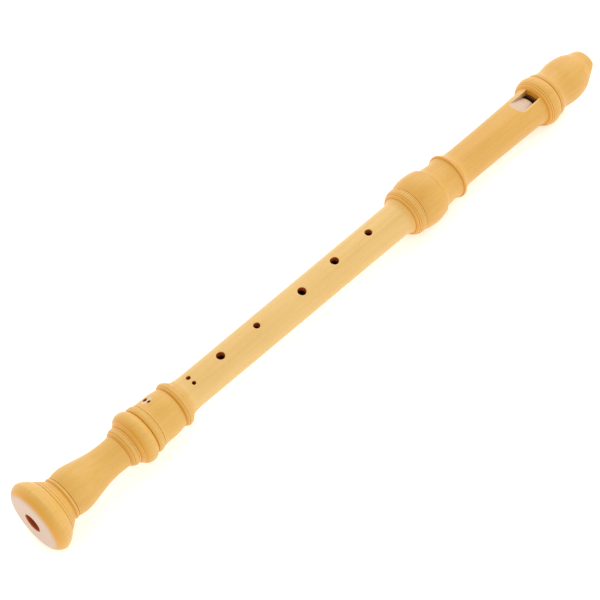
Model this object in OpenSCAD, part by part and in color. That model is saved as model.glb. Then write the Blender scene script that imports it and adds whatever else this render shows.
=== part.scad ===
// Wooden recorder in three joints, lying along X with its finger holes up.
// The foot end is at -X and the beak at +X. The axis is level, and the flare of
// the foot just touches z = 0. Stations along the pipe are counted in mm from the
// open end of the foot joint, and turn into X by taking half the length away.

/* [Joint lengths] */
// Foot joint, from the open end to the rim of its socket
foot_len = 115.2; // [114:0.2:118]
// Station of the rim of the head joint, where the middle joint ends
head_rim = 311.3; // [310:0.1:312]
// Whole length, from the open end to the tip of the beak
total_len = 500; // [499.5:0.1:502]

/* [Bore] */
// Radius of the bore at the open end of the foot
foot_bore_r = 5.8; // [5:0.1:6]
// Radius of the bore where the foot meets the middle joint
joint_bore_r = 6.2; // [6:0.1:6.6]
// Radius of the bore at the top of the middle joint
top_bore_r = 8.0; // [7.4:0.1:8.4]
// Radius of the bore of the head joint
head_bore_r = 9.2; // [9:0.05:9.3]

/* [Tenons] */
// Length of the upper tenon, which goes into the head joint
upper_tenon_len = 24; // [18:0.5:26]
// Radius of the socket in the head joint
upper_socket_r = 10.8; // [10.6:0.1:11]
// Length of the lower tenon, which goes into the foot joint
lower_tenon_len = 15; // [12:0.5:15.5]
// Radius of the socket in the foot joint
lower_socket_r = 10.4; // [10.2:0.1:10.6]
// Thickness of the cork laps
cork_t = 0.9; // [0.7:0.1:1]

/* [Finger holes] */
// Angle that the foot joint is turned to, so that its holes suit the little finger
foot_turn = 32; // [0:1:45]
// Angle that the head joint is turned to
head_turn = 3; // [-10:1:10]
// Diameter of the thumb hole at the back
thumb_hole_d = 5; // [4:0.1:6]

/* [Window and windway] */
// Station of the sharp edge of the labium
labium_edge = 439.5; // [439:0.1:440]
// Station of the end of the windway, level with the front of the block
windway_exit = 443.8; // [443:0.1:444.5]
// Width of the window and of the windway
window_w = 11.6; // [10:0.1:12]
// Height of the windway
windway_h = 1.1; // [0.9:0.05:1.2]

/* [Hidden] */

$fn = 96;
eps = 0.01;
run_gap = 0.05;          // running clearance across a joint, on the radius
face_gap = 0.05;         // gap between the faces of two joints
axis_z = 23.4;           // the axis lies the flare's radius above the floor
arc_steps = 6;           // straight pieces in one arc of an outline

lower_socket_end = foot_len - lower_tenon_len - 0.5;
upper_socket_end = head_rim + upper_tenon_len + 0.5;
lower_cork = [foot_len - 11.5, foot_len - 3];
upper_cork = [head_rim + 3, head_rim + 19];
land_drop = 0.2;         // how far a tenon's wooden lands stay inside its socket
peg_bore_len = 22;       // parallel stretch of the bore at the open end

// Finger holes: station, angle from the top towards +Y, diameter
middle_holes = [
    [280.2, 0, 5.0], [249.0, 0, 5.8], [218.0, -9, 5.7], [180.3, 0, 4.4], [149.6, 0, 5.6],
    [125.2, 13.5, 3.0], [125.2, -13.5, 2.5]
];
foot_holes = [[96.4, 8.5, 3.0], [96.4, -8.5, 2.5]];
thumb_station = 291;

// The arched windway lies between two cylinders with an axis below the bore's own
arch_axis_drop = 4.4;
arch_floor_r = 13.0;
arch_roof_r = arch_floor_r + windway_h;
windway_slope = 1;       // degrees that the block's top falls towards the tip

// Labium ramp: a short hollow from the surface of the tube, then a flat slope down to
// the sharp edge. Points are a station and a height above the axis.
ramp_start = [424.2, 13.2];
ramp_flat = [427.5, 11.75];
ramp_edge_h = head_bore_r + 0.35;
ramp_start_w = 12.1;
window_back = [windway_exit + 0.5, 17];     // top of the window's back wall

// Underside of the beak: a concave cut on a cylinder that lies across the pipe
beak_cut_r = 60;
beak_cut_center = [522.5, -49.4];

// Outlines: each row is a station, a radius, and the rise of the arc that leads
// to it from the row before, 0 for a straight line and below 0 for a hollow.
foot_outline = [
    [0, 16.6, 0], [6.3, 23.4, 1.7], [13.4, 19.0, 0.7],
    [13.8, 18.6, 0], [20.2, 13.7, 0.2], [20.9, 13.6, -0.1],
    [23.1, 13.75, 0.6], [35, 14.2, 0.75], [48, 11.4, -0.05], [66.4, 10.8, -0.6],
    [66.9, 11.6, 0], [71.5, 12.8, 0.75], [75.4, 16.2, -0.15], [75.6, 16.4, 0],
    [83.3, 15.8, 1.4], [84.2, 15.3, 0], [89.2, 15.2, 0.8],
    [93, 14.8, -0.05], [99, 14.8, 0], [107.6, 13.7, 0.2], [108.4, 13.8, 0],
    [108.8, 14.5, 0], [113.3, 14.2, 1.05], [foot_len, 12.6, 0.1]
];
middle_outline = [
    [foot_len + face_gap, 11.9, 0], [foot_len + 1.6, 11.85, 0], [foot_len + 3.6, 11.5, 0.05],
    [foot_len + 10, 11.05, -0.15], [head_rim - 5, 11.7, 0], [head_rim - face_gap, 13.4, -0.35]
];
head_outline = [
    [head_rim, 13.9, 0], [314.6, 16.5, 0.35], [318.4, 16.75, 0.2], [318.9, 16.45, 0],
    [328.6, 18.4, 0.45], [338.5, 17.3, 0.3], [338.8, 16.8, 0], [345, 14.7, -0.45],
    [355.6, 14.6, -0.45], [356.6, 15.5, -0.1], [358.9, 15.6, 0.65],
    [366.2, 12.8, -0.6], [372, 12.6, -0.05], [398, 12.8, 0], [426, 13.2, 0],
    [440, 13.5, 0], [444.3, 14.3, -0.2], [444.8, 15.7, 0], [455, 16.9, 1.65],
    [455.5, 16.3, 0], [460.2, 16.0, 0.7], [463, 15.2, -0.1],
    [470, 15.4, -0.2], [487, 14.6, 0.95], [493, 12.2, 0], [498.3, 10.8, 0.05],
    [total_len, 9.8, 0.2]
];

// Half the angle that an arc turns through, from its chord and its rise
function arc_half(chord, rise) = 2 * atan(2 * rise / chord);

// Points of the arc from a to b, without a itself
function arc_points(a, b, rise) =
    rise == 0 ? [b] :
    let(d = b - a,
        chord = norm(d),
        along = d / chord,
        across = [-along[1], along[0]],
        half = arc_half(chord, rise),
        radius = chord / 2 / sin(half),
        middle = (a + b) / 2)
    [for (k = [1 : arc_steps])
        let(turn = -half + 2 * half * k / arc_steps)
        middle + along * radius * sin(turn) + across * radius * (cos(turn) - cos(half))];

function station(row) = [row[0], row[1]];

function outline_points(rows) = concat(
    [station(rows[0])],
    [for (k = [1 : len(rows) - 1])
        each arc_points(station(rows[k - 1]), station(rows[k]), rows[k][2])]);

// Places a shape that is turned about Z, with stations along Z, onto the pipe's axis.
// Its -X side comes to the top, and turn swings the top towards +Y.
module on_axis(turn = 0) {
    translate([-total_len / 2, 0, axis_z])
        rotate([-turn, 0, 0])
            rotate([0, 90, 0])
                children();
}

// Solid of revolution under an outline, closed at both ends on the axis
module turned(rows) {
    points = outline_points(rows);
    first = points[0];
    last = points[len(points) - 1];
    rotate_extrude()
        polygon(concat([[0, first[0]]], [for (p = points) [p[1], p[0]]], [[0, last[0]]]));
}

// Round hole along the axis from one station to another, with its own two radii
module bore(from, to, r_from, r_to) {
    translate([0, 0, from])
        cylinder(h = to - from, r1 = r_from, r2 = r_to);
}

// Ring about the axis between two stations
module ring(from, to, r_in, r_out) {
    translate([0, 0, from])
        difference() {
            cylinder(h = to - from, r = r_out);
            translate([0, 0, -1])
                cylinder(h = to - from + 2, r = r_in);
        }
}

// Drills one hole from the axis out through the wall
module finger_hole(hole) {
    rotate([0, 0, -hole[1]])
        translate([0, 0, hole[0]])
            rotate([0, -90, 0])
                cylinder(h = 30, d = hole[2], $fn = 48);
}

// Extrudes a side view across the pipe. Its points are a station and a height above the axis.
module across(points, width) {
    rotate([0, -90, 0])
        rotate([90, 0, 0])
            linear_extrude(height = width, center = true)
                polygon(points);
}

// Cylinder across the pipe that hollows the underside of the beak
module beak_cut() {
    translate([-beak_cut_center[1], 0, beak_cut_center[0]])
        rotate([90, 0, 0])
            cylinder(h = 60, r = beak_cut_r, center = true, $fn = 180);
}

// Cylinder that lies under the windway and falls towards the tip of the beak
module windway_arch(radius, length) {
    translate([arch_axis_drop, 0, windway_exit])
        rotate([0, windway_slope, 0])
            translate([0, 0, -2])
                cylinder(h = length + 4, r = radius, $fn = 180);
}

// Groove in the head above the block, for the roof of the windway
module windway() {
    length = total_len - windway_exit;
    intersection() {
        windway_arch(arch_roof_r, length);
        translate([-20, -window_w / 2, windway_exit - 1])
            cube([20, window_w, length + 2]);
    }
}

// Opening through the wall between the labium and the block
module window() {
    across([
        [labium_edge, 5], [windway_exit, 5], [windway_exit, ramp_edge_h + 0.25],
        window_back, [window_back[0], 20], [labium_edge, 20]
    ], window_w);
}

// Sloping cut that leads down to the labium, a little wider at its start
module labium_ramp() {
    slope = (ramp_flat[1] - ramp_edge_h) / (labium_edge - ramp_flat[0]);
    intersection() {
        across(outline_points([
            [ramp_start[0], ramp_start[1], 0], [ramp_flat[0], ramp_flat[1], -0.2],
            [labium_edge + 1, ramp_edge_h - slope, 0], [labium_edge + 1, 20, 0],
            [ramp_start[0], 20, 0]
        ]), 30);
        translate([-22, 0, 0])
            rotate([0, 90, 0])
                linear_extrude(height = 22)
                    polygon([
                        [-ramp_start[0], -ramp_start_w / 2],
                        [-labium_edge - 1, -window_w / 2], [-labium_edge - 1, window_w / 2],
                        [-ramp_start[0], ramp_start_w / 2]
                    ]);
    }
}

module foot_joint() {
    color("burlywood")
        on_axis(foot_turn)
            difference() {
                turned(foot_outline);
                bore(-1, peg_bore_len, foot_bore_r, foot_bore_r);
                bore(peg_bore_len - eps, lower_socket_end + eps, foot_bore_r, joint_bore_r);
                bore(lower_socket_end, foot_len + 1, lower_socket_r, lower_socket_r);
                for (hole = foot_holes)
                    finger_hole(hole);
            }
}

module middle_joint() {
    lower_land_r = lower_socket_r - land_drop;
    upper_land_r = upper_socket_r - land_drop;
    lower_end = foot_len - lower_tenon_len;
    upper_end = head_rim + upper_tenon_len;
    color("burlywood")
        on_axis()
            difference() {
                union() {
                    turned(middle_outline);
                    bore(lower_end, foot_len + 1, lower_land_r, lower_land_r);
                    bore(head_rim - 1, upper_end, upper_land_r, upper_land_r);
                }
                bore(lower_end - 1, upper_end + 1, joint_bore_r, top_bore_r);
                ring(lower_cork[0], lower_cork[1], lower_socket_r - run_gap - cork_t - run_gap, 12);
                ring(upper_cork[0], upper_cork[1], upper_socket_r - run_gap - cork_t - run_gap, 12);
                for (hole = middle_holes)
                    finger_hole(hole);
                finger_hole([thumb_station, 180, thumb_hole_d]);
            }
}

module head_joint() {
    color("burlywood")
        on_axis(head_turn)
            difference() {
                turned(head_outline);
                bore(head_rim - 1, upper_socket_end, upper_socket_r, upper_socket_r);
                bore(upper_socket_end - eps, total_len + 1, head_bore_r, head_bore_r);
                beak_cut();
                windway();
                window();
                labium_ramp();
            }
}

module windway_block() {
    block_r = head_bore_r - run_gap;
    color("peru")
        on_axis(head_turn)
            difference() {
                intersection() {
                    bore(windway_exit, total_len, block_r, block_r);
                    turned(head_outline);
                    windway_arch(arch_floor_r, total_len - windway_exit);
                }
                beak_cut();
            }
}

// Lap of cork around a tenon, turned smooth. It clears the wood by the running gap.
module tenon_cork(span, socket_r) {
    outer_r = socket_r - run_gap;
    color("tan")
        on_axis()
            ring(span[0] + face_gap, span[1] - face_gap, outer_r - cork_t, outer_r);
}

module upper_tenon_cork() {
    tenon_cork(upper_cork, upper_socket_r);
}

module lower_tenon_cork() {
    tenon_cork(lower_cork, lower_socket_r);
}

foot_joint();
middle_joint();
head_joint();
windway_block();
upper_tenon_cork();
lower_tenon_cork();
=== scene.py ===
"""Looks of a wooden recorder in three joints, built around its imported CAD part.

Outlines are in millimetres. A station is a distance along the pipe from the open end
of the foot joint, and a radius is a distance from the pipe's axis. Everything handed
to Blender is in metres, in the frame of the CAD part.
"""

import math

import bmesh
import bpy
from mathutils import Matrix, Quaternion, Vector

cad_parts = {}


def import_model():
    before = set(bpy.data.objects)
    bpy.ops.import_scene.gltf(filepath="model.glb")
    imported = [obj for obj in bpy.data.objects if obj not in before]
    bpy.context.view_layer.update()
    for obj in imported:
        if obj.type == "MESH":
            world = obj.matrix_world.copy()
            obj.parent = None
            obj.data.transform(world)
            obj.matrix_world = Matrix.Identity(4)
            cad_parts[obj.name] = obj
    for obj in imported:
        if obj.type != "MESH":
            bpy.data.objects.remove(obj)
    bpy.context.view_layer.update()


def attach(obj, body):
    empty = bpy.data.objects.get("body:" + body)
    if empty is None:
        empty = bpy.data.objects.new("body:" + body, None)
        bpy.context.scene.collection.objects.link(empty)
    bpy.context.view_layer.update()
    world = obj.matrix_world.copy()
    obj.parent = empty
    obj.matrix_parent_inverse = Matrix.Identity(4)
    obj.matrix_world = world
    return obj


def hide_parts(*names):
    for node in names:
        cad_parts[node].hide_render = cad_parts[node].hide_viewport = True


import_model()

# ---- Sizes shared with the CAD part, in mm ----

MM = 0.001
TOTAL_LEN = 500.0
AXIS_Z = 23.4
FOOT_LEN = 115.2
HEAD_RIM = 311.3
FOOT_TURN = math.radians(32)
HEAD_TURN = math.radians(3)

FOOT_BORE_R = 5.8
JOINT_BORE_R = 6.2
TOP_BORE_R = 8.0
HEAD_BORE_R = 9.2
PEG_BORE_LEN = 22.0
LOWER_SOCKET_R = 10.4
LOWER_TENON_LEN = 15.0
UPPER_SOCKET_R = 10.8
UPPER_TENON_LEN = 24.0
RUN_GAP = 0.05
LAND_DROP = 0.2
CORK_T = 0.9
LOWER_CORK = (FOOT_LEN - 11.5, FOOT_LEN - 3)
UPPER_CORK = (HEAD_RIM + 3, HEAD_RIM + 19)

FLARE_EDGE = (6.3, 23.4)
FOOT_HOLE_AT = 96.4
FOOT_HOLE_SURFACE_R = 14.8
THUMB_HOLE_AT = 291.0

LABIUM_EDGE = 439.5
WINDWAY_EXIT = 443.8
WINDOW_W = 11.6
WINDOW_BACK = (444.3, 17.0)
RAMP_START = (424.2, 13.2)
RAMP_FLAT = (427.5, 11.75)
RAMP_START_W = 12.1
ARCH_DROP = 4.4
ARCH_FLOOR_R = 13.0
ARCH_ROOF_R = 14.1
WINDWAY_SLOPE = math.tan(math.radians(1))
BEAK_CUT_R = 60.0
BEAK_CUT_CENTER = (522.5, -49.4)
CLEAR_OF_HEAD = 22.0    # height above the axis that is outside the head everywhere

# ---- How finely the pieces are made ----

SEGMENTS = 192          # sides of a turned piece
ARC_STEPS = 10          # straight pieces in one arc of an outline
LONGEST_STEP = 1.0      # longest step of an outer outline, mm
HOLE_SEGMENTS = 64
CORK_SEGMENTS = 128
BEAK_CUT_SEGMENTS = 360
ARCH_STEPS = 16         # steps from the middle of the windway to its side
RAMP_STEPS = 32         # steps along the ramp's even part
RAMP_SIDE_STEPS = 12    # steps from the middle of the ramp to its side
HOLE_SOFTENING = 0.4    # rounding of a finger hole's rim, mm
SMOOTH_ANGLE = math.radians(32)

# ---- How far painted shade in crevices and hollows and a painted edge highlight reach, and how far edges are softened, in mm ----

CREVICE_REACH = 1.3
HOLLOW_REACH = 5.0
EDGE_REACH = 0.9
BEVEL_RADIUS = 0.16

# Places of a wooden piece's materials in its list
OUTSIDE, BORED, BARE, WORN_END = range(4)


# ---- Outlines ----

def arc_points(start, end, rise):
    """Points of the arc from start to end, without start. A negative rise is a hollow."""
    if rise == 0:
        return [end]
    chord = end - start
    along = chord.normalized()
    across = Vector((-along.y, along.x))
    half = 2 * math.atan(2 * rise / chord.length)
    radius = chord.length / 2 / math.sin(half)
    middle = (start + end) / 2
    points = []
    for step in range(1, ARC_STEPS):
        turn = -half + 2 * half * step / ARC_STEPS
        points.append(middle + along * (radius * math.sin(turn))
                      + across * (radius * (math.cos(turn) - math.cos(half))))
    return points + [end]


def soften(points, corner, reach):
    """Replaces what lies within reach of a corner by a small curve."""
    low = high = points.index(corner)
    while low > 0 and (points[low] - corner).length < reach:
        low -= 1
    while high < len(points) - 1 and (points[high] - corner).length < reach:
        high += 1
    start = corner + (points[low] - corner).normalized() * reach
    end = corner + (points[high] - corner).normalized() * reach
    curve = []
    steps = 5
    for step in range(steps + 1):
        t = step / steps
        curve.append(start * (1 - t) ** 2 + corner * (2 * t * (1 - t)) + end * t ** 2)
    return points[:low + 1] + curve + points[high:]


def outline(rows):
    """Points of an outline. A row is a station, a radius, the rise of the arc that leads
    to it and, where its corner is softened, how far the softening reaches."""
    points = [Vector(rows[0][:2])]
    for row in rows[1:]:
        points += arc_points(points[-1], Vector(row[:2]), row[2])
    for row in rows:
        if len(row) > 3:
            points = soften(points, Vector(row[:2]), row[3])
    return points


def in_short_steps(points):
    """The same outline with no step longer than LONGEST_STEP."""
    result = [points[0]]
    for start, end in zip(points, points[1:]):
        count = max(1, math.ceil((end - start).length / LONGEST_STEP))
        result += [start.lerp(end, k / count) for k in range(1, count + 1)]
    return result


def radius_at(points, station):
    """Radius of an outline at a station that it passes once."""
    for start, end in zip(points, points[1:]):
        if start.x <= station <= end.x and end.x > start.x:
            return start.y + (end.y - start.y) * (station - start.x) / (end.x - start.x)
    raise ValueError(f"station {station} is not on the outline")


def with_lines(points, lines):
    """Cuts fine turned lines into an outline. A line is a station, a width and a depth."""
    half = 4
    for station, width, depth in lines:
        groove = []
        for step in range(-half, half + 1):
            offset = step / half * width / 2
            sink = depth * math.cos(step / half * math.pi / 2) ** 2
            at = station + offset
            groove.append(Vector((at, radius_at(points, at) - sink)))
        before = [p for p in points if p.x < station - width / 2]
        after = [p for p in points if p.x > station + width / 2]
        points = before + groove + after
    return points


# ---- Materials ----

class Graph:
    """Node tree of one material, with short calls to add nodes and to join them."""

    def __init__(self, name):
        self.material = bpy.data.materials.new(name)
        self.material.use_nodes = True
        self.tree = self.material.node_tree
        self.tree.nodes.clear()
        self.place = self.add("ShaderNodeTexCoord").outputs["Object"]

    def add(self, kind, inputs=None, **settings):
        """Adds a node. Inputs are values or other nodes' outputs, and settings are its own."""
        node = self.tree.nodes.new(kind)
        for key, value in settings.items():
            setattr(node, key, value)
        for key, value in (inputs or {}).items():
            if isinstance(value, bpy.types.NodeSocket):
                self.tree.links.new(value, node.inputs[key])
            else:
                node.inputs[key].default_value = value
        return node

    def noise(self, scale, detail=3.0, roughness=0.5, distortion=0.0):
        """Noise over the piece. The scale is in cells per mm along X, Y and Z."""
        mapped = self.add("ShaderNodeMapping", {
            "Vector": self.place, "Scale": [s / MM for s in scale]})
        texture = self.add("ShaderNodeTexNoise", {
            "Vector": mapped.outputs[0], "Scale": 1.0, "Detail": detail,
            "Roughness": roughness, "Distortion": distortion})
        return texture.outputs[0]

    def curve(self, value, *stops):
        """Passes a value through straight stretches between (value, result) stops."""
        node = self.add("ShaderNodeValToRGB", {"Fac": value})
        ramp = node.color_ramp
        while len(ramp.elements) < len(stops):
            ramp.elements.new(0.5)
        for element, (at, result) in zip(ramp.elements, stops):
            element.position = at
            shade = result if isinstance(result, tuple) else (result,) * 3
            element.color = (*shade, 1)
        return node.outputs["Color"]

    def mix(self, factor, one, two):
        """Mixes two colours."""
        node = self.add("ShaderNodeMix", {"Factor": factor}, data_type="RGBA")
        color_sockets = (node.inputs[6], node.inputs[7])
        for socket, value in zip(color_sockets, (one, two)):
            if isinstance(value, bpy.types.NodeSocket):
                self.tree.links.new(value, socket)
            else:
                socket.default_value = (*value, 1)
        return node.outputs[2]

    def math(self, operation, one, two=0.0):
        """Works out one number from two."""
        node = self.add("ShaderNodeMath", {0: one, 1: two}, operation=operation)
        return node.outputs[0]

    def openness(self, reach, inside=False):
        """How open the surface is within a reach in mm, or how thick the wood is inside it."""
        node = self.add("ShaderNodeAmbientOcclusion", {"Distance": reach * MM},
                        samples=6, inside=inside)
        return node.outputs["AO"]

    def bump(self, height, strength, distance, normal=None):
        """Relief from a height pattern. The distance is in mm."""
        inputs = {"Height": height, "Strength": strength, "Distance": distance * MM}
        if normal is not None:
            inputs["Normal"] = normal
        return self.add("ShaderNodeBump", inputs).outputs[0]

    def finish(self, **inputs):
        """Feeds the surface shader and ends the tree."""
        named = {key.replace("_", " ").title(): value for key, value in inputs.items()}
        if "Ior" in named:
            named["IOR"] = named.pop("Ior")
        shader = self.add("ShaderNodeBsdfPrincipled", named)
        self.add("ShaderNodeOutputMaterial", {"Surface": shader.outputs[0]})
        return self.material


def growth_rings(graph, spacing, pith):
    """Faint year rings around a line that runs along the pipe, moved off it by pith, in mm."""
    rings_per_unit = 0.314      # wavelength of the wave texture at scale 1
    mapped = graph.add("ShaderNodeMapping", {
        "Vector": graph.place, "Location": (0.0, pith[0], pith[1]), "Scale": (120.0, 1000.0, 1000.0)})
    wave = graph.add("ShaderNodeTexWave", {
        "Vector": mapped.outputs[0], "Scale": rings_per_unit / spacing, "Distortion": 3.0,
        "Detail": 2.0, "Detail Scale": 0.35, "Detail Roughness": 0.6},
        wave_type="RINGS", rings_direction="X", wave_profile="SAW")
    return wave.outputs[0]


def wood(name, light, deep, end_light, end_deep, roughness, coat, end_grain,
         warm_shade_and_pooled_finish=0.0, edge_highlight_amount=0.0, pith=(35.0, -52.0)):
    """Close-grained turned wood with its grain along the pipe, and end grain on its faces.
    Painted shade gives faces turned to the foot end a deeper orange and darkens crevices,
    painted shade together with built-up finish warms the hollows, and a painted highlight
    lightens sharp edges. The pattern of year rings is shifted by pith, in mm across and
    up, so that its middle lies outside the pipe."""
    # Colours of painted light: warm for painted shade on faces turned to the foot end and, with built-up
    # finish, in hollows; dark for painted shade in crevices, whose strength comes next; pale for a painted
    # highlight on sharp edges.
    warm = (light[0] * 0.98, light[1] * 0.76, light[2] * 0.20)
    dark = (deep[0] * 0.50, deep[1] * 0.36, deep[2] * 0.30)
    crevice_shade_strength = 0.9 if warm_shade_and_pooled_finish else 0.15
    pale = (light[0] * 1.22, light[1] * 1.50, light[2] * 2.60)
    graph = Graph(name)
    streaks = graph.noise((0.012, 0.55, 0.55), detail=5, roughness=0.6, distortion=0.3)
    patches = graph.noise((0.018, 0.05, 0.05), detail=2)
    fibres = graph.noise((0.09, 3.2, 3.2), detail=3, roughness=0.6)
    pores = graph.curve(graph.noise((0.35, 7.0, 7.0), detail=1), (0.62, 0.0), (0.70, 1.0))
    rings = growth_rings(graph, 2.6, pith)
    tone = graph.mix(0.45, streaks, patches)
    tone = graph.mix(0.04, tone, rings)
    shade = graph.curve(tone, (0.34, deep), (0.66, light))
    shade = graph.mix(graph.math("MULTIPLY", fibres, 0.26), shade, deep)
    shade = graph.mix(graph.math("MULTIPLY", pores, 0.34), shade, [c * 0.62 for c in deep])

    speckle = graph.noise((2.4, 2.4, 2.4), detail=2)
    end_shade = graph.mix(graph.curve(speckle, (0.35, 0.0), (0.65, 1.0)), end_deep, end_light)
    end_shade = graph.mix(graph.math("MULTIPLY", rings, 0.25), end_shade, end_deep)
    normal = graph.add("ShaderNodeNewGeometry").outputs["Normal"]
    along = graph.add("ShaderNodeSeparateXYZ", {0: normal}).outputs[0]
    across = graph.math("ABSOLUTE", along)
    to_foot = graph.math("MULTIPLY", along, -1.0)
    # Painted shade: faces turned to the foot end get a deeper orange.
    shade = graph.mix(graph.curve(to_foot, (0.22, 0.0), (0.70, warm_shade_and_pooled_finish)), shade, warm)
    shade = graph.mix(graph.curve(across, (0.84, 0.0), (0.985, end_grain)), shade, end_shade)

    # Painted shade: crevices and grooves darken.
    crevices = graph.openness(CREVICE_REACH)
    crevice_shade = graph.curve(crevices, (0.35, 1.0), (0.85, 0.0))
    shade = graph.mix(graph.math("MULTIPLY", crevice_shade, crevice_shade_strength), shade, dark)
    # Painted bounce light and shade, together with finish built up there: hollows turn a warmer orange.
    hollows = graph.openness(HOLLOW_REACH)
    shade = graph.mix(graph.curve(hollows, (0.40, warm_shade_and_pooled_finish), (0.95, 0.0)), shade, warm)
    # Painted highlight: sharp edges lighten towards pale, except on faces turned to the foot end.
    edges = graph.openness(EDGE_REACH, inside=True)
    edge_highlight = graph.curve(edges, (0.62, edge_highlight_amount), (0.90, 0.0))
    off_end = graph.curve(to_foot, (0.80, 1.0), (0.97, 0.0))
    shade = graph.mix(graph.math("MULTIPLY", edge_highlight, off_end), shade, pale)

    turning = graph.noise((2.2, 0.01, 0.01), detail=2)
    softened = graph.add("ShaderNodeBevel", {"Radius": BEVEL_RADIUS * MM}, samples=4).outputs[0]
    relief = graph.bump(turning, 0.10, 0.05, softened)
    relief = graph.bump(fibres, 0.16, 0.05, relief)
    relief = graph.bump(pores, -0.20, 0.04, relief)
    sheen = graph.curve(graph.mix(0.5, streaks, fibres), (0.3, roughness - 0.06), (0.7, roughness + 0.08))
    clear_coat = graph.curve(crevices, (0.45, 0.0), (0.90, coat))
    return graph.finish(base_color=shade, roughness=sheen, normal=relief, coat_weight=clear_coat,
                        coat_roughness=0.26, coat_normal=softened, ior=1.5)


def cork():
    """Pressed sheet cork: pale grains with darker seams and brown pits."""
    graph = Graph("cork")
    mapped = graph.add("ShaderNodeMapping", {"Vector": graph.place, "Scale": (900.0,) * 3})
    grains = graph.add("ShaderNodeTexVoronoi", {"Vector": mapped.outputs[0], "Scale": 1.0})
    tint = graph.curve(grains.outputs["Color"], (0.2, (0.42, 0.24, 0.11)), (0.8, (0.62, 0.40, 0.21)))
    edges = graph.add("ShaderNodeTexVoronoi", {"Vector": mapped.outputs[0], "Scale": 1.0},
                      feature="DISTANCE_TO_EDGE")
    seams = graph.curve(edges.outputs[0], (0.0, 1.0), (0.12, 0.0))
    pits = graph.curve(graph.noise((0.6, 0.6, 0.6), detail=3), (0.60, 0.0), (0.68, 1.0))
    shade = graph.mix(graph.math("MULTIPLY", seams, 0.55), tint, (0.22, 0.11, 0.05))
    shade = graph.mix(graph.math("MULTIPLY", pits, 0.7), shade, (0.10, 0.05, 0.025))
    relief = graph.bump(seams, -0.35, 0.08)
    relief = graph.bump(pits, -0.5, 0.15, relief)
    fine = graph.noise((6.0, 6.0, 6.0), detail=3)
    relief = graph.bump(fine, 0.25, 0.05, relief)
    return graph.finish(base_color=shade, roughness=graph.curve(fine, (0.3, 0.75), (0.7, 0.95)),
                        normal=relief)


# The last argument sets the strength of a painted highlight on sharp edges.
def lacquered_wood(name, light, deep, end_grain=0.0, edge_highlight_amount=0.9):
    """Pale wood under a satin finish, as on the outside of every joint."""
    # 0.9 is the strength of the painted warm shade and of the painted crevice shade.
    return wood(name, light, deep, (0.67, 0.48, 0.355), (0.575, 0.39, 0.275), 0.47, 0.16,
                end_grain, warm_shade_and_pooled_finish=0.9, edge_highlight_amount=edge_highlight_amount)


FOOT_LIGHT = (0.71, 0.415, 0.088)
FOOT_DEEP = (0.63, 0.340, 0.055)
foot_wood = lacquered_wood("foot_wood", FOOT_LIGHT, FOOT_DEEP)
worn_foot_wood = lacquered_wood("worn_foot_wood", FOOT_LIGHT, FOOT_DEEP, end_grain=1.0)
# The middle joint gets only a faint painted edge highlight.
middle_wood = lacquered_wood("middle_wood", (0.74, 0.480, 0.160), (0.66, 0.400, 0.110), edge_highlight_amount=0.1)
head_wood = lacquered_wood("head_wood", (0.69, 0.382, 0.072), (0.60, 0.308, 0.042))
# Oiled bore wood, made darker still as painted shade inside the bore and the finger holes.
bore_oil_and_shade = wood("oiled_bore_and_painted_shade", (0.50, 0.095, 0.004), (0.36, 0.060, 0.002),
             (0.60, 0.40, 0.22), (0.50, 0.31, 0.15), 0.78, 0.0, 0.0)
bare = wood("bare_wood", (0.72, 0.53, 0.39), (0.62, 0.43, 0.29),
            (0.72, 0.52, 0.39), (0.62, 0.42, 0.30), 0.55, 0.0, 1.0)
ramp_wood = wood("ramp_wood", (0.65, 0.475, 0.34), (0.56, 0.385, 0.25),
                 (0.66, 0.47, 0.34), (0.57, 0.38, 0.26), 0.55, 0.0, 1.0)
cedar = wood("cedar", (0.28, 0.09, 0.040), (0.18, 0.055, 0.025),
             (0.17, 0.045, 0.025), (0.11, 0.030, 0.015), 0.60, 0.0, 0.80, pith=(20.0, -14.0))
cork_sheet = cork()

wooden = [foot_wood, bore_oil_and_shade, bare, worn_foot_wood]


# ---- Meshes ----

def on_pipe(station, side, height, turn=0.0):
    """Place of a point given by its station, its distance to the side and its height above
    the axis, turned about the axis so that the top swings towards +Y."""
    y = side * math.cos(turn) + height * math.sin(turn)
    z = height * math.cos(turn) - side * math.sin(turn)
    return Vector((station - TOTAL_LEN / 2, y, z + AXIS_Z)) * MM


def mesh_object(name, bm):
    """Turns a bmesh into an object, with its faces turned outwards. Pieces and cutters share
    one list of materials, so that a cut face keeps the material of its cutter."""
    bmesh.ops.recalc_face_normals(bm, faces=bm.faces)
    mesh = bpy.data.meshes.new(name)
    for material in wooden:
        mesh.materials.append(material)
    bm.to_mesh(mesh)
    bm.free()
    piece = bpy.data.objects.new(name, mesh)
    bpy.context.scene.collection.objects.link(piece)
    return piece


def bridge(bm, rings, material=OUTSIDE):
    """Joins each ring of points to the next with four-sided faces."""
    for one, two in zip(rings, rings[1:]):
        for k in range(len(one)):
            after = (k + 1) % len(one)
            face = bm.faces.new((one[k], one[after], two[after], two[k]))
            face.material_index = material


def turned_ring(name, outer, inner, turn=0.0, segments=SEGMENTS):
    """Turned piece with a hole through it: the outer outline, then the bore back to its start."""
    bm = bmesh.new()
    rings = []
    for point in outer + inner:
        ring = []
        for k in range(segments):
            angle = 2 * math.pi * k / segments
            place = on_pipe(point.x, point.y * math.sin(angle), point.y * math.cos(angle), turn)
            ring.append(bm.verts.new(place))
        rings.append(ring)
    shared = len(outer)
    bridge(bm, rings[:shared], OUTSIDE)
    bridge(bm, rings[shared - 1:] + [rings[0]], BORED)
    return mesh_object(name, bm)


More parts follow.
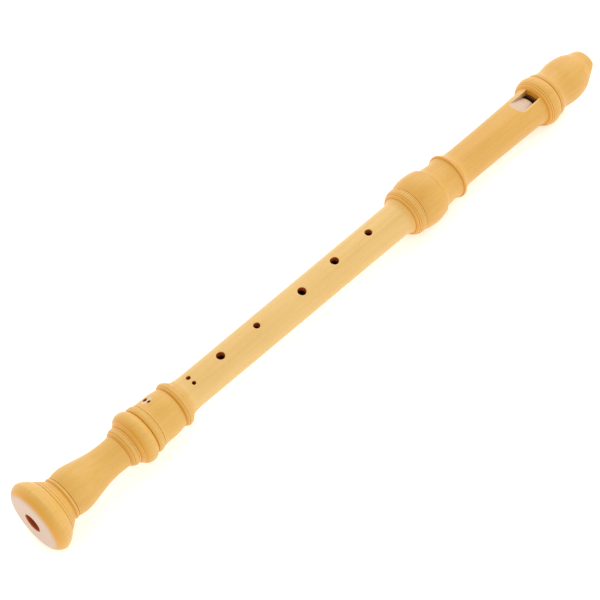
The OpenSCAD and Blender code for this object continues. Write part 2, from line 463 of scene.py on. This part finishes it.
def loft(name, sections, turn=0.0, material=OUTSIDE):
    """Closed mesh through sections. A section is a list of (station, side, height)."""
    bm = bmesh.new()
    rings = [[bm.verts.new(on_pipe(*point, turn)) for point in section] for section in sections]
    bridge(bm, rings, material)
    for ring in (rings[0], rings[-1]):
        bm.faces.new(ring).material_index = material
    return mesh_object(name, bm)


def cut(piece, cutters):
    """Takes the cutters out of a piece and deletes them."""
    for cutter in cutters:
        modifier = piece.modifiers.new(cutter.name, "BOOLEAN")
        modifier.operation = "DIFFERENCE"
        modifier.solver = "MANIFOLD"
        modifier.object = cutter
    graph = bpy.context.evaluated_depsgraph_get()
    result = bpy.data.meshes.new_from_object(piece.evaluated_get(graph))
    piece.modifiers.clear()
    piece.data = result
    for cutter in cutters:
        bpy.data.objects.remove(cutter)


def smooth(piece):
    """Smooth shading up to SMOOTH_ANGLE, and a crisp line around bare wood."""
    mesh = piece.data
    mesh.shade_smooth()
    mesh.set_sharp_from_angle(angle=SMOOTH_ANGLE)
    bm = bmesh.new()
    bm.from_mesh(mesh)
    for edge in bm.edges:
        bare = [face.material_index == BARE for face in edge.link_faces]
        if any(bare) and not all(bare):
            edge.smooth = False
    bm.to_mesh(mesh)
    bm.free()
    modifier = piece.modifiers.new("even shading", "WEIGHTED_NORMAL")
    modifier.keep_sharp = True


# ---- Cutters ----

def hole_cutter(name, surface, station, angle, diameter, turn):
    """Drill for one finger hole, which rounds the hole's rim along the curved surface. A ring
    has a reach from the hole's middle and a depth under the surface, or none at its low end."""
    low_end = 2.0           # height above the axis, inside the bore
    rim_steps = 6
    radius = diameter / 2
    wall = [(radius, None), (radius, HOLE_SOFTENING)]
    rim = []
    for step in range(1, rim_steps + 1):
        a = math.pi / 2 * step / rim_steps
        rim.append((radius + HOLE_SOFTENING * (1 - math.cos(a)), HOLE_SOFTENING * (1 - math.sin(a))))
    top_reach = radius + HOLE_SOFTENING + 0.3
    above = [(top_reach, -0.07), (top_reach, -4.0)]
    bm = bmesh.new()
    rings = []
    for reach, depth in wall + rim + above:
        ring = []
        for k in range(HOLE_SEGMENTS):
            phi = 2 * math.pi * k / HOLE_SEGMENTS
            at = station + reach * math.cos(phi)
            side = reach * math.sin(phi)
            height = low_end
            if depth is not None:
                height = math.sqrt(radius_at(surface, at) ** 2 - side ** 2) - depth
            ring.append(bm.verts.new(on_pipe(at, side, height, turn + math.radians(angle))))
        rings.append(ring)
    bridge(bm, rings[:2], BORED)
    bridge(bm, rings[1:], OUTSIDE)
    bm.faces.new(rings[0])
    bm.faces.new(rings[-1])
    return mesh_object(name, bm)


def scoop_cutter(station, surface_r, turn):
    """Ball that leaves a shallow dip for the little finger around the double hole."""
    ball_r = 12.0
    depth = 0.6
    bm = bmesh.new()
    center = on_pipe(station, 0.0, surface_r - depth + ball_r, turn)
    bmesh.ops.create_uvsphere(bm, u_segments=128, v_segments=64, radius=ball_r * MM,
                              matrix=Matrix.Translation(center))
    for face in bm.faces:
        face.material_index = BARE
    return mesh_object("scoop_cutter", bm)


def beak_cutter():
    """Round cutter that hollows the underside of the beak."""
    sections = []
    half_width = 30.0
    for side in (-half_width, half_width):
        section = []
        for k in range(BEAK_CUT_SEGMENTS):
            a = 2 * math.pi * k / BEAK_CUT_SEGMENTS
            section.append((BEAK_CUT_CENTER[0] + BEAK_CUT_R * math.cos(a), side,
                            BEAK_CUT_CENTER[1] + BEAK_CUT_R * math.sin(a)))
        sections.append(section)
    return loft("beak_cutter", sections, HEAD_TURN)


def arch_height(radius, side, station):
    """Height of the windway's floor or roof above the axis."""
    return math.sqrt(radius ** 2 - side ** 2) - ARCH_DROP - (station - WINDWAY_EXIT) * WINDWAY_SLOPE


def arched_sections(stations, half_width, radius, low):
    """Sections with an arched top, down to a flat bottom at a low height."""
    sections = []
    for station in stations:
        top = []
        for k in range(-ARCH_STEPS, ARCH_STEPS + 1):
            side = half_width * k / ARCH_STEPS
            top.append((station, side, arch_height(radius, side, station)))
        sections.append([(station, -half_width, low)] + top + [(station, half_width, low)])
    return sections


def windway_cutter():
    """Groove for the roof of the windway. It reaches into the bore below it."""
    stations = (WINDWAY_EXIT - 1, TOTAL_LEN + 2)
    bottom = 3.0
    sections = arched_sections(stations, WINDOW_W / 2, ARCH_ROOF_R, bottom)
    return loft("windway_cutter", sections, HEAD_TURN, BARE)


def window_cutter():
    """Opening between the labium and the block, with an upright wall at its back."""
    bottom = 4.0
    back_foot = 9.8
    side_view = [(LABIUM_EDGE, bottom), (WINDWAY_EXIT, bottom), (WINDWAY_EXIT, back_foot),
                 WINDOW_BACK, (WINDOW_BACK[0], CLEAR_OF_HEAD), (LABIUM_EDGE, CLEAR_OF_HEAD)]
    sections = []
    for side in (-WINDOW_W / 2, WINDOW_W / 2):
        sections.append([(station, side, height) for station, height in side_view])
    return loft("window_cutter", sections, HEAD_TURN)


def ramp_cutter():
    """Slope that leads down to the labium: a short hollow from the surface, then level
    across at its start and arched with the bore at its sharp edge."""
    edge_r = HEAD_BORE_R + 0.4
    steps_past_edge = 3
    side_view = outline([(*RAMP_START, 0), (*RAMP_FLAT, -0.2)])
    flat_start = side_view[-1]
    stations = [(point.x, point.y, 0.0) for point in side_view[:-1]]
    for k in range(RAMP_STEPS + steps_past_edge + 1):
        u = k / RAMP_STEPS
        stations.append((flat_start.x + (LABIUM_EDGE - flat_start.x) * u, flat_start.y, u))
    sections = []
    for station, level, u in stations:
        half_width = (RAMP_START_W + (WINDOW_W - RAMP_START_W) * u) / 2
        low = []
        for j in range(-RAMP_SIDE_STEPS, RAMP_SIDE_STEPS + 1):
            side = half_width * j / RAMP_SIDE_STEPS
            arched = math.sqrt(edge_r ** 2 - side ** 2)
            low.append((station, side, level + (arched - level) * u))
        sections.append([(station, -half_width, CLEAR_OF_HEAD)] + low
                        + [(station, half_width, CLEAR_OF_HEAD)])
    return loft("ramp_cutter", sections, HEAD_TURN, BARE)


# ---- Wooden joints ----

def wear_end(piece, station):
    """Gives the outside below a station the finish of an open end, rubbed off its flat face."""
    for face in piece.data.polygons:
        if face.material_index == OUTSIDE and face.center.x < (station - TOTAL_LEN / 2) * MM:
            face.material_index = WORN_END


def foot_joint():
    """Flared foot with its bulb, beads and socket, its double hole and the dip around it."""
    rows = [
        (0, FOOT_BORE_R + 0.5, 0), (0, 16.6, 0, 0.5), (*FLARE_EDGE, 1.7, 0.3),
        (13.4, 19.0, 0.7, 0.2), (13.8, 18.6, 0, 0.2), (20.2, 13.7, 0.2), (20.9, 13.6, -0.1),
        (23.1, 13.75, 0.6), (35, 14.2, 0.75), (48, 11.4, -0.05), (66.4, 10.8, -0.6),
        (66.9, 11.6, 0, 0.2), (71.5, 12.8, 0.75), (75.4, 16.2, -0.15), (75.6, 16.4, 0, 0.2),
        (83.3, 15.8, 1.4), (84.2, 15.3, 0), (89.2, 15.2, 0.8, 0.15),
        (93, 14.8, -0.05), (99, 14.8, 0), (107.6, 13.7, 0.2), (108.4, 13.8, 0),
        (108.8, 14.5, 0, 0.2), (113.3, 14.2, 1.05), (FOOT_LEN, 12.6, 0.1, 0.25),
        (FOOT_LEN, LOWER_SOCKET_R + 0.3, 0)
    ]
    lines = [(14.1, 1.0, 0.5), (16.0, 1.0, 0.45), (18.0, 0.8, 0.35), (23.2, 0.6, 0.45),
             (65.9, 0.7, 0.45), (68.0, 0.5, 0.4), (70.9, 0.5, 0.4), (72.1, 0.8, 0.5), (74.4, 0.6, 0.4),
             (84.1, 0.8, 0.6), (88.3, 0.5, 0.35), (89.6, 0.7, 0.45), (108.0, 0.8, 0.5),
             (109.7, 0.5, 0.4), (112.2, 0.5, 0.4), (113.6, 0.5, 0.45)]
    outer = in_short_steps(with_lines(outline(rows), lines))
    socket_end = FOOT_LEN - LOWER_TENON_LEN - 0.5
    inner = [Vector(point) for point in (
        (FOOT_LEN - 0.3, LOWER_SOCKET_R), (socket_end, LOWER_SOCKET_R),
        (socket_end, JOINT_BORE_R), (PEG_BORE_LEN, FOOT_BORE_R), (0.5, FOOT_BORE_R))]
    piece = turned_ring("foot_joint_turned", outer, inner, FOOT_TURN)
    surface = [point for point in outer if point.x > 0.5]
    cutters = [hole_cutter("foot_hole", surface, FOOT_HOLE_AT, angle, diameter, FOOT_TURN)
               for angle, diameter in ((8.5, 3.0), (-8.5, 2.5))]
    cutters.append(scoop_cutter(FOOT_HOLE_AT, FOOT_HOLE_SURFACE_R, FOOT_TURN))
    cut(piece, cutters)
    wear_end(piece, FLARE_EDGE[0])
    return piece


def middle_joint():
    """Long tube with the finger holes, a thumb hole at the back and a tenon at each end."""
    lower_land_r = LOWER_SOCKET_R - LAND_DROP
    upper_land_r = UPPER_SOCKET_R - LAND_DROP
    lower_groove_r = LOWER_SOCKET_R - CORK_T - 2 * RUN_GAP
    upper_groove_r = UPPER_SOCKET_R - CORK_T - 2 * RUN_GAP
    lower_end = FOOT_LEN - LOWER_TENON_LEN
    upper_end = HEAD_RIM + UPPER_TENON_LEN
    rows = [
        (lower_end, JOINT_BORE_R + 0.3, 0), (lower_end, lower_land_r, 0, 0.3),
        (LOWER_CORK[0], lower_land_r, 0, 0.1), (LOWER_CORK[0], lower_groove_r, 0),
        (LOWER_CORK[1], lower_groove_r, 0), (LOWER_CORK[1], lower_land_r, 0, 0.1),
        (FOOT_LEN + RUN_GAP, lower_land_r, 0),
        (FOOT_LEN + RUN_GAP, 11.9, 0, 0.15), (FOOT_LEN + 1.6, 11.85, 0), (FOOT_LEN + 3.6, 11.5, 0.05),
        (FOOT_LEN + 10, 11.05, -0.15), (HEAD_RIM - 5, 11.7, 0),
        (HEAD_RIM - RUN_GAP, 13.4, -0.35, 0.12),
        (HEAD_RIM - RUN_GAP, upper_land_r, 0),
        (UPPER_CORK[0], upper_land_r, 0, 0.1), (UPPER_CORK[0], upper_groove_r, 0),
        (UPPER_CORK[1], upper_groove_r, 0), (UPPER_CORK[1], upper_land_r, 0, 0.1),
        (upper_end, upper_land_r, 0, 0.3), (upper_end, TOP_BORE_R + 0.3, 0)
    ]
    outer = in_short_steps(outline(rows))
    inner = [Vector((upper_end - 0.3, TOP_BORE_R)), Vector((lower_end + 0.3, JOINT_BORE_R))]
    piece = turned_ring("middle_joint_turned", outer, inner)
    surface = [point for point in outer if FOOT_LEN + 2 < point.x < HEAD_RIM - 2]
    # A hole is a station, an angle from the top in degrees and a diameter
    holes = [(280.2, 0, 5.0), (249.0, 0, 5.8), (218.0, -9, 5.7), (180.3, 0, 4.4), (149.6, 0, 5.6),
             (125.2, 13.5, 3.0), (125.2, -13.5, 2.5), (THUMB_HOLE_AT, 180, 5.0)]
    cutters = [hole_cutter("middle_hole", surface, *hole, 0.0) for hole in holes]
    cut(piece, cutters)
    return piece


def head_joint():
    """Beak, window and labium, ring, tube and socket barrel, with the windway's roof."""
    socket_end = HEAD_RIM + UPPER_TENON_LEN + 0.5
    rows = [
        (HEAD_RIM, UPPER_SOCKET_R + 0.3, 0), (HEAD_RIM, 13.9, 0, 0.15), (314.6, 16.5, 0.35),
        (318.4, 16.75, 0.2, 0.15), (318.9, 16.45, 0),
        (328.6, 18.4, 0.45), (338.5, 17.3, 0.3, 0.15), (338.8, 16.8, 0), (345, 14.7, -0.45),
        (355.6, 14.6, -0.45), (356.6, 15.5, -0.1, 0.2), (358.9, 15.6, 0.65),
        (366.2, 12.8, -0.6), (372, 12.6, -0.05), (398, 12.8, 0), (426, 13.2, 0),
        (440, 13.5, 0), (444.3, 14.3, -0.2), (444.8, 15.7, 0, 0.2), (455.0, 16.9, 1.65, 0.15),
        (455.5, 16.3, 0), (460.2, 16.0, 0.7), (463, 15.2, -0.1),
        (470, 15.4, -0.2), (487, 14.6, 0.95), (493, 12.2, 0), (498.3, 10.8, 0.05, 0.5),
        (TOTAL_LEN, 9.8, 0.2, 0.25), (TOTAL_LEN, HEAD_BORE_R, 0)
    ]
    lines = [(312.9, 0.5, 0.6), (314.0, 0.5, 0.4), (317.6, 0.5, 0.5), (318.9, 0.6, 0.6), (338.8, 1.1, 0.7),
             (356.4, 0.5, 0.5), (359.1, 0.5, 0.55), (445.9, 0.5, 0.45), (447.2, 0.5, 0.4),
             (455.5, 0.9, 0.6)]
    outer = in_short_steps(with_lines(outline(rows), lines))
    inner = [Vector((socket_end, HEAD_BORE_R)), Vector((socket_end, UPPER_SOCKET_R)),
             Vector((HEAD_RIM + 0.3, UPPER_SOCKET_R))]
    piece = turned_ring("head_joint_turned", outer, inner, HEAD_TURN)
    cut(piece, [windway_cutter(), window_cutter(), ramp_cutter(), beak_cutter()])
    return piece


def windway_block():
    """Block of cedar with an arched top, which leaves the windway open above it."""
    radius = HEAD_BORE_R - RUN_GAP
    sections = []
    chamfer_size = 0.4
    for station in (WINDWAY_EXIT, WINDWAY_EXIT + chamfer_size, 470.0, TOTAL_LEN):
        chamfer = chamfer_size if station == WINDWAY_EXIT else 0.0
        section = []
        for k in range(SEGMENTS):
            angle = 2 * math.pi * k / SEGMENTS
            side = radius * math.sin(angle)
            height = radius * math.cos(angle)
            roof = arch_height(ARCH_FLOOR_R, side, station) - chamfer
            section.append((station, side, min(height, roof)))
        sections.append(section)
    piece = loft("windway_block_shaped", sections, HEAD_TURN)
    cut(piece, [beak_cutter()])
    return piece


def tenon_cork(name, span, socket_r):
    """Lap of cork, turned smooth and softened at its ends."""
    outer_r = socket_r - RUN_GAP
    inner_r = outer_r - CORK_T
    start = span[0] + RUN_GAP
    end = span[1] - RUN_GAP
    rows = [(start, inner_r, 0), (start, outer_r, 0, 0.35), (end, outer_r, 0, 0.35), (end, inner_r, 0)]
    points = in_short_steps(outline(rows))
    return turned_ring(name, points, [], segments=CORK_SEGMENTS)


def dress(piece, node, body, materials):
    """Gives a piece its materials and its place among the CAD part's bodies."""
    for place, material in enumerate(materials):
        piece.data.materials[place] = material
    smooth(piece)
    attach(piece, body)
    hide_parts(node)


dress(foot_joint(), "foot_joint", "foot", wooden)
dress(middle_joint(), "middle_joint", "middle",
      [middle_wood, bore_oil_and_shade, bare, middle_wood])
dress(head_joint(), "head_joint", "head",
      [head_wood, bore_oil_and_shade, ramp_wood, head_wood])
dress(windway_block(), "windway_block", "block", [cedar] * 4)
dress(tenon_cork("upper_cork_lap", UPPER_CORK, UPPER_SOCKET_R),
      "upper_tenon_cork", "upper_cork", [cork_sheet] * 4)
dress(tenon_cork("lower_cork_lap", LOWER_CORK, LOWER_SOCKET_R),
      "lower_tenon_cork", "lower_cork", [cork_sheet] * 4)


# ---- Floor, light and camera ----

def floor():
    """Pale floor. The pipe's axis is level in the CAD frame, but a real recorder lies on its
    flare and on the ring at its window, which is thinner, so the floor slopes to touch both."""
    size = 6.0
    slope = 0.0122
    touch_x = -0.2437       # where the flare touches the floor, at z = 0
    bm = bmesh.new()
    corners = []
    for x, y in ((-size, -size), (size, -size), (size, size), (-size, size)):
        corners.append(bm.verts.new((x, y, (x - touch_x) * slope)))
    bm.faces.new(corners)
    piece = mesh_object("floor", bm)
    graph = Graph("pale_floor")
    grain = graph.noise((0.02, 0.02, 0.02), detail=2)
    shade = graph.curve(grain, (0.3, (0.90, 0.90, 0.895)), (0.7, (0.93, 0.93, 0.925)))
    piece.data.materials.clear()
    piece.data.materials.append(graph.finish(
        base_color=shade, roughness=0.9, emission_color=(1, 1, 1, 1), emission_strength=0.36))


def softbox(name, place, target, size, power):
    """White rectangular light that faces its target. Its size is in metres."""
    light = bpy.data.lights.new(name, "AREA")
    light.shape = "RECTANGLE"
    light.size, light.size_y = size
    light.energy = power
    lamp = bpy.data.objects.new(name, light)
    lamp.location = place
    lamp.rotation_euler = (Vector(target) - Vector(place)).to_track_quat("-Z", "Y").to_euler()
    bpy.context.scene.collection.objects.link(lamp)


def world(strength):
    """Even, nearly white light from everywhere."""
    scene_world = bpy.data.worlds.new("studio")
    scene_world.use_nodes = True
    background = scene_world.node_tree.nodes["Background"]
    background.inputs["Color"].default_value = (1.0, 0.995, 0.985, 1)
    background.inputs["Strength"].default_value = strength
    bpy.context.scene.world = scene_world


def camera():
    """Camera above the foot end that looks along the pipe, with all of it in view."""
    distance = 1.048
    roll_angle = -0.0030
    target = Vector((-31.9, 0.0, AXIS_Z)) * MM
    direction = Vector((-0.4226, -0.4115, 0.8075))
    lens = bpy.data.cameras.new("camera")
    lens.sensor_width = 36.0
    lens.lens = 101.04
    view = bpy.data.objects.new("camera", lens)
    view.location = target + direction * distance
    level = (-direction).to_track_quat("-Z", "Y")
    roll = Quaternion((0.0, 0.0, 1.0), roll_angle)
    view.rotation_euler = (level @ roll).to_euler()
    bpy.context.scene.collection.objects.link(view)
    bpy.context.scene.camera = view


floor()
pipe_middle = (0.0, 0.0, AXIS_Z * MM)
softbox("key", (1.1, 0.5, 1.0), pipe_middle, size=(1.8, 1.4), power=10.0)
softbox("rim", (-0.2, 1.3, 0.6), pipe_middle, size=(2.4, 1.4), power=4.0)
softbox("side", (0.5, -1.2, 0.7), pipe_middle, size=(1.8, 1.0), power=4.0)
world(strength=0.91)
camera()
bpy.context.scene.view_settings.view_transform = "Standard"

bpy.context.view_layer.update()
